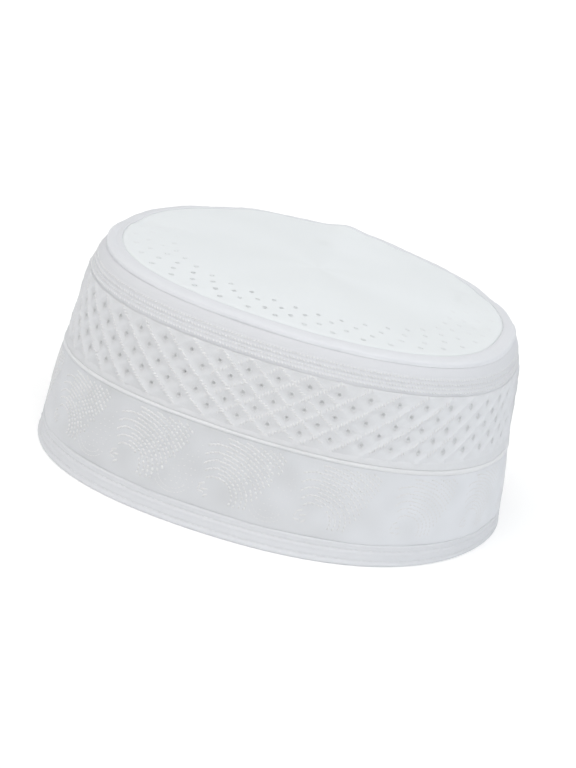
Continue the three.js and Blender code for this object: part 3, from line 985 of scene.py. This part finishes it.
def cord_points(t):
    """The piping fills the seam between the cuff's top edge and the lattice band's foot."""
    low = on_wall(t, CUFF_TOP, cuff_relief(t, CUFF_TOP)) + [0, 0, 0.03]
    u = (np.interp(np.mod(t, TAU), _th, _arc) - PHASE) * COLUMNS
    foot = lattice_uneven(t, LATTICE_FOOT, strip_h(u, ROW_FOOT) + SUNK)
    high = on_wall(t, LATTICE_FOOT, foot) - [0, 0, 0.03]
    out = np.stack([np.cos(t), np.sin(t), 0 * t], 1)
    f = np.concatenate([np.linspace(0, 1, 13), np.linspace(0.97, 0.03, 9)])
    away = np.concatenate([np.sin(math.pi * np.linspace(0, 1, 13)) ** 0.85, -1.85 * np.sin(math.pi * np.linspace(0.97, 0.03, 9)) ** 0.3])
    away = away[None] * np.where(np.arange(22)[None] < 13, cord_bulge(t)[:, None], 1.0) * (1 + 0.05 * ripple(t[:, None], f[None] * 2, 61, 20, 80, 50))
    return low[:, None] + (high - low)[:, None] * f[None, :, None] + out[:, None] * away[..., None]


# Painted shade: the piping's colour darker round -52 degrees.
cord = ring_mesh(
    "piping", cord_points, 640, M_CORD,
    tint=lambda t: np.repeat((1 - 0.05 * np.exp(-(((degrees_round(t) + 52) / 30) ** 2)))[:, None], 22, 1),
)
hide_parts("piping_cord")

# ---------------------------------------------------------------------------
# Binding: a soft roll over the crown's edge
# ---------------------------------------------------------------------------
SEAT = BAND_TOP_Z + SEAM_GAP / 2
ROLL = [  # radius, height: from the groove over the roll to the crown's seam, and back inside
    (81.44, 79.46), (81.53, 79.64), (81.57, 79.92), (81.53, 80.32), (81.38, 80.78), (81.0, 81.22), (80.28, 81.6),
    (79.3, 81.95), (78.2, 82.2), (77.2, 82.36), (76.5, 82.36), (76.08, 82.22),
    (75.96, 81.9), (76.1, 80.95), (78.2, 80.7),
]
PUCKERS = [  # degrees round the cap, width in degrees, depth in millimetres, lean
    (-33, 1.4, 0.30, 0.6), (-30, 1.3, 0.38, 0.5), (-27, 1.0, 0.30, 0.5), (-24.5, 0.9, 0.34, 0.4), (-21.5, 1.2, 0.36, 0.4),
    (-18, 1.1, 0.30, 0.4), (-14, 1.4, 0.34, 0.3), (-38, 1.5, 0.22, 0.4), (-43, 1.3, 0.14, -0.4), (-48, 1.6, 0.16, 0.4),
    (-160, 1.6, 0.3, -0.4), (-152, 1.4, 0.2, -0.4), (-118, 1.7, 0.12, 0.3), (-70, 1.9, 0.12, -0.3), (-55, 1.4, 0.15, 0.3),
    (12, 1.6, 0.25, 0.4), (48, 1.8, 0.2, -0.4), (85, 1.5, 0.22, 0.3), (121, 1.7, 0.22, -0.3), (158, 1.6, 0.25, 0.4),
]


def roll_points(t):
    prof = np.array(ROLL)
    fine = np.linspace(0, 11, 26)
    rz = np.stack([np.interp(fine, np.arange(12), prof[:12, 0]), np.interp(fine, np.arange(12), prof[:12, 1])], 1)
    rz = np.concatenate([rz, prof[12:]])
    n = len(rz)
    T = np.broadcast_to(t[:, None], (len(t), n))
    s = np.broadcast_to(np.concatenate([np.linspace(0, 1, 26), np.zeros(n - 26)])[None], (len(t), n))
    body = np.where(np.arange(n)[None] < 26, np.sin(math.pi * np.clip(s, 0, 1)), 0.0)
    sink = np.zeros((len(t), n))
    for deg, wide, depth, lean in PUCKERS:
        d = (np.degrees(T) - deg - lean * 8 * (s - 0.5) + 180) % 360 - 180
        sink += depth * np.exp(-((d / wide) ** 2)) * np.clip(1.3 - s, 0, 1)
    # a long fold beside the crown's seam, on one side only
    d = (np.degrees(T) + 174 + 180) % 360 - 180
    sink += 1.0 * np.exp(-((d / 14) ** 2)) * bump1(s - 0.80, 0.17) - 0.35 * np.exp(-((d / 18) ** 2)) * bump1(s - 0.42, 0.3)
    puff = 0.14 * ripple(T, s * 6, 71, 5, 26, 30) + 0.04 * ripple(T, s * 6, 72, 40, 120, 12)
    out = (puff - sink) * body
    c = np.array([78.4, 80.3])
    d = rz - c
    d = d / np.linalg.norm(d, axis=1, keepdims=True)
    p = warp(rz[None, :, 0] + out * d[None, :, 0], T, rz[None, :, 1] + out * d[None, :, 1])
    meet = on_wall(t, BAND_TOP, band_relief(t, BAND_TOP)) + [0, 0, 0.04] - p[:, 0]
    ease = np.concatenate([np.array([1, 0.86, 0.66, 0.44, 0.24, 0.1]), np.zeros(n - 6)])
    return p + meet[:, None] * ease[None, :, None]


binding = ring_mesh("binding_roll", roll_points, 720, M_BINDING)
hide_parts("crown_binding")

# ---------------------------------------------------------------------------
# Crown panel
# ---------------------------------------------------------------------------
CROWN_COLUMNS, CROWN_ROWS = 38, 4
CROWN_RHO, CROWN_STEP = 0.935, 0.066
CROWN_W, CROWN_H = 11.2, CROWN_STEP * CROWN_RADIUS
CROWN_HOLE = 0.36
CROWN_T0 = math.radians(-99.6)
rng = np.random.default_rng(12)
CJIT = rng.normal(0, 1, (CROWN_ROWS, CROWN_COLUMNS, 3))


def crown_open(t):
    """How far open the crown's eyelets are: full at the front, nearly closed at the back."""
    deg = (np.degrees(t) + 180) % 360 - 180
    return np.interp(deg, [-180, -165, -145, -125, -82, -60, -25, 10, 50, 150, 180], [0.28, 0.45, 0.85, 1, 1, 0.75, 0.5, 0.28, 0.15, 0.15, 0.28])


def crown_jitter(u0, v0):
    a = CJIT[int(v0), int(math.floor(u0)) % CROWN_COLUMNS]
    open_ = float(crown_open(CROWN_T0 + u0 * TAU / CROWN_COLUMNS))
    return 0.35 * a[0], 0.3 * a[1], open_ * (1 + 0.1 * a[2]), open_ * (1 + 0.2 * a[2])


def crown_relief(x, y, q, jr, d=None):
    if x is None:
        return np.zeros_like(d)
    rr = np.hypot(x, y)
    return jr * (0.08 * np.exp(-(((rr - CROWN_HOLE - 0.5) / 0.35) ** 2)) - 0.3 * np.exp(-(rr - CROWN_HOLE) / 0.3) - 0.06 * bump1(rr, 3.2))


cr = Patchwork(CROWN_COLUMNS)
centres = [(k + (0.5 if v % 2 else 0.0), v) for v in range(CROWN_ROWS) for k in range(CROWN_COLUMNS)]
lozenge_patches(cr, CROWN_COLUMNS, centres, CROWN_W, CROWN_H, CROWN_HOLE, 0, CROWN_ROWS - 1, crown_relief, -1.5, crown_jitter)
seg = CROWN_COLUMNS * SIDE
v_in = float(CROWN_ROWS)
rho_in = CROWN_RHO - CROWN_STEP * v_in
n_in = 14
vs = [(CROWN_RHO - r) / CROWN_STEP for r in np.linspace(rho_in, 0.02, n_in)]
uu = np.arange(seg + 1) / SIDE
g = np.array([[u, v] for v in vs for u in uu])
cr.add(g, np.zeros(len(g)), grid_faces(len(vs), seg + 1)[:, ::-1], 0)
cr.add(g, np.full(len(g), -1.5), grid_faces(len(vs), seg + 1), 1)
a = np.array([[u, -1.0] for u in uu])
start = cr.n
cr.p += [np.column_stack([a, np.zeros(len(a))]), np.column_stack([a, np.ones(len(a))])]
cr.h += [np.zeros(len(a)), np.full(len(a), -1.5)]
j = np.arange(seg)
n1 = seg + 1
cr.f4.append(np.stack([start + j, start + j + 1, start + n1 + j + 1, start + n1 + j], -1))
cr.n += 2 * n1
cp, ch, cfaces, cuv = cr.weld()
ct = CROWN_T0 + cp[:, 0] * TAU / CROWN_COLUMNS
crho = CROWN_RHO - CROWN_STEP * cp[:, 1]
outside = cp[:, 2] < 0.5


def crown_wave(t, rho):
    x, y = rho * np.cos(t) * CROWN_RADIUS, rho * np.sin(t) * CROWN_RADIUS
    out = 0.35 * np.sin(x / 19 + 0.6) * np.sin(y / 23 + 1.1) + 0.16 * np.sin(x / 9.0 + y / 13 + 2)
    out = 0.75 * out - 0.22 * np.exp(-(x**2 / 40 + (y - 42.0) ** 2 / 70)) + 0.12 * np.sin(x / 6.3 - y / 17) * np.sin(y / 8.1 + x / 29)
    edge = np.clip((rho - 0.72) / 0.28, 0, 1)
    return out * (1 - edge) + 0.09 * ripple(t, rho, 81, 10, 40, 3) * edge


cverts = on_crown(ct, crho, ch + crown_wave(ct, crho))
# close the tiny middle on both faces
closing = []
for layer in (0, 1):
    tip = np.where((np.abs(crho - 0.02) < 1e-6) & (cp[:, 2] == layer))[0]
    tip = tip[np.argsort(np.mod(cp[tip, 0], CROWN_COLUMNS))]
    centre = on_crown(0.0, 0.0, float(np.mean(ch[tip] + crown_wave(ct[tip], crho[tip]))))
    cverts = np.vstack([cverts, centre[None]])
    c = len(cverts) - 1
    nxt = np.roll(tip, -1)
    tri = np.stack([tip, nxt, np.full(len(tip), c)], 1)
    closing.append(tri[:, ::-1] if layer == 0 else tri)
closing = np.concatenate(closing)
xy = lambda v: np.stack([v[..., 0], v[..., 1]], -1)
uv_all = [xy(cverts[f]) for f in cfaces] + [xy(cverts[closing])]
cd, cx_, cy_, crow = lozenge_at(cp[:, 0], cp[:, 1], CROWN_W, CROWN_H)
# Painted shade: a dark halo in each crown eyelet, strongest where the eyelets are open. A little random mottling
# follows.
ctint = 0.97 - np.where((crow >= 0) & (crow < CROWN_ROWS), 0.16 * np.exp(-((np.hypot(cx_, cy_) / 0.9) ** 2)), 0.0) * (crown_open(ct) ** 2)
ctint = ctint + 0.02 * ripple(ct, crho * 40, 85, 1, 6, 50)
px_, py_ = crho * np.cos(ct) * CROWN_RADIUS, crho * np.sin(ct) * CROWN_RADIUS
# Painted shade: a soft dark spot over the dent near the back of the crown, and a narrow dark streak on its right side.
ctint = ctint - 0.065 * np.exp(-((px_ / 3.2) ** 2) - ((py_ - 42.0) / 4.8) ** 2) - 0.05 * np.exp(-(((px_ - 56.4) / 1.3) ** 2) - ((py_ - 19.4) / 6.0) ** 2)
ctint = np.append(ctint, [0.97, 0.97])
crown = build("crown_cloth", cverts, cfaces + [closing], M_CROWN, uv=uv_all, tint=ctint)
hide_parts("crown_top")

eu, ev, ea = [], [], []
for v in range(CROWN_ROWS):
    for k in range(CROWN_COLUMNS):
        u0 = k + (0.5 if v % 2 else 0.0)
        jx, jy, jr, js = crown_jitter(u0, v)
        for i in range(10):
            a = TAU * (i + 0.5 * (k % 2)) / 10
            eu.append(u0 + (jx * 0.85 + (CROWN_HOLE + 0.45) * math.cos(a)) / CROWN_W)
            ev.append(v + (jy * 0.85 + (CROWN_HOLE + 0.45) * math.sin(a)) / CROWN_H)
            ea.append(a)
eu, ev, ea = map(np.array, (eu, ev, ea))
tt = CROWN_T0 + eu * TAU / CROWN_COLUMNS
rr = CROWN_RHO - CROWN_STEP * ev
mid = on_crown(tt, rr, crown_wave(tt, rr) + 0.08 * crown_open(tt) - 0.03)
e = 0.004
gx = on_crown(tt + e, rr, 0) - on_crown(tt - e, rr, 0)
gr = on_crown(tt, rr + e, 0) - on_crown(tt, rr - e, 0)
nrm = np.cross(gr, gx)
gx = gx / np.linalg.norm(gx, axis=1, keepdims=True)
gr = gr / np.linalg.norm(gr, axis=1, keepdims=True)
lie = gx * np.cos(ea)[:, None] - gr * np.sin(ea)[:, None]
crown_thread = stitches("crown_stitches", mid, lie, nrm, 0.55, 0.26, 0.12 * crown_open(tt), M_THREAD_SOFT, tint=rng.uniform(0.93, 0.98, len(mid)))

# ---------------------------------------------------------------------------
# Floor, light and camera
# ---------------------------------------------------------------------------
floor_me = bpy.data.meshes.new("floor")
S = 6.0
floor_me.from_pydata([(-S, -S, 0), (S, -S, 0), (S, S, 0), (-S, S, 0)], [], [(0, 1, 2, 3)])
floor = bpy.data.objects.new("floor", floor_me)
floor.location = (0, 0, -0.0001)
bpy.context.scene.collection.objects.link(floor)
fm = bpy.data.materials.new("floor_white")
fm.use_nodes = True
fb = fm.node_tree.nodes["Principled BSDF"]
fb.inputs["Base Color"].default_value = (0.75, 0.75, 0.75, 1)
fb.inputs["Roughness"].default_value = 1.0
fb.inputs["Specular IOR Level"].default_value = 0.0
fb.inputs["Emission Color"].default_value = (1, 1, 1, 1)
fb.inputs["Emission Strength"].default_value = 0.30
floor_me.materials.append(fm)

# A low pale backdrop all round, far away.
turn = np.linspace(0, TAU, 97)[:-1]
ring = [(5.9 * math.cos(a), 5.9 * math.sin(a), h) for h in (-0.001, 0.66) for a in turn]
back_me = bpy.data.meshes.new("backdrop")
back_me.from_pydata(ring, [], [(i, 96 + i, 96 + (i + 1) % 96, (i + 1) % 96) for i in range(96)])
backdrop = bpy.data.objects.new("backdrop", back_me)
bpy.context.scene.collection.objects.link(backdrop)
bm_ = bpy.data.materials.new("backdrop_white")
bm_.use_nodes = True
bb = bm_.node_tree.nodes["Principled BSDF"]
bb.inputs["Base Color"].default_value = (0.4, 0.4, 0.4, 1)
bb.inputs["Roughness"].default_value = 1.0
bb.inputs["Specular IOR Level"].default_value = 0.0
bb.inputs["Emission Color"].default_value = (1, 1, 1, 1)
bb.inputs["Emission Strength"].default_value = 0.75
back_me.materials.append(bm_)

world = bpy.data.worlds.new("studio")
world.use_nodes = True
bg = world.node_tree.nodes["Background"]
bg.inputs["Color"].default_value = (0.97, 0.985, 1.0, 1)
bg.inputs["Strength"].default_value = 0.27
bpy.context.scene.world = world


def soft_sun(name, source, strength, angle, colour):
    data = bpy.data.lights.new(name, "SUN")
    data.energy = strength
    data.angle = math.radians(angle)
    data.color = colour
    ob = bpy.data.objects.new(name, data)
    ob.rotation_mode = "QUATERNION"
    ob.rotation_quaternion = Vector(source).to_track_quat("Z", "Y")
    bpy.context.scene.collection.objects.link(ob)
    return ob


soft_sun("key", (-0.13, -0.345, 0.93), 2.30, 70, (1.0, 0.992, 0.98))
soft_sun("rim", (-0.55, 0.83, 0.08), 0.18, 60, (1.0, 1.0, 1.0))
soft_sun("fill", (0.94, -0.20, 0.33), 0.76, 60, (0.84, 0.92, 1.0))

F_PX, EL, ROLL_A, DIST, OX, OY = 3046.485, 0.299164, 0.242405, 1200.0, -0.00062, -0.002753
fw = np.array([0, math.cos(EL), -math.sin(EL)])
right = np.array([1.0, 0, 0])
up = np.cross(right, fw)
loc = np.array([0, 0, 40.0]) - fw * DIST - np.array([CENTRE[0], CENTRE[1], 0])
f2 = fw * math.cos(OX) * math.cos(OY) + right * math.sin(OX) * math.cos(OY) + up * math.sin(OY)
f2 /= np.linalg.norm(f2)
r2 = np.cross(f2, [0, 0, 1.0])
r2 /= np.linalg.norm(r2)
u2 = np.cross(r2, f2)
r3 = r2 * math.cos(ROLL_A) + u2 * math.sin(ROLL_A)
u3 = -r2 * math.sin(ROLL_A) + u2 * math.cos(ROLL_A)
cam_data = bpy.data.cameras.new("camera")
cam_data.sensor_width = 36.0
cam_data.lens = F_PX / 768 * 36.0
cam_data.clip_start, cam_data.clip_end = 0.05, 50
cam = bpy.data.objects.new("camera", cam_data)
mat = Matrix(((r3[0], u3[0], -f2[0], loc[0] * MM), (r3[1], u3[1], -f2[1], loc[1] * MM), (r3[2], u3[2], -f2[2], loc[2] * MM), (0, 0, 0, 1)))
cam.matrix_world = mat
bpy.context.scene.collection.objects.link(cam)
bpy.context.scene.camera = cam
bpy.context.scene.view_settings.view_transform = "Standard"
bpy.context.scene.view_settings.look = "None"
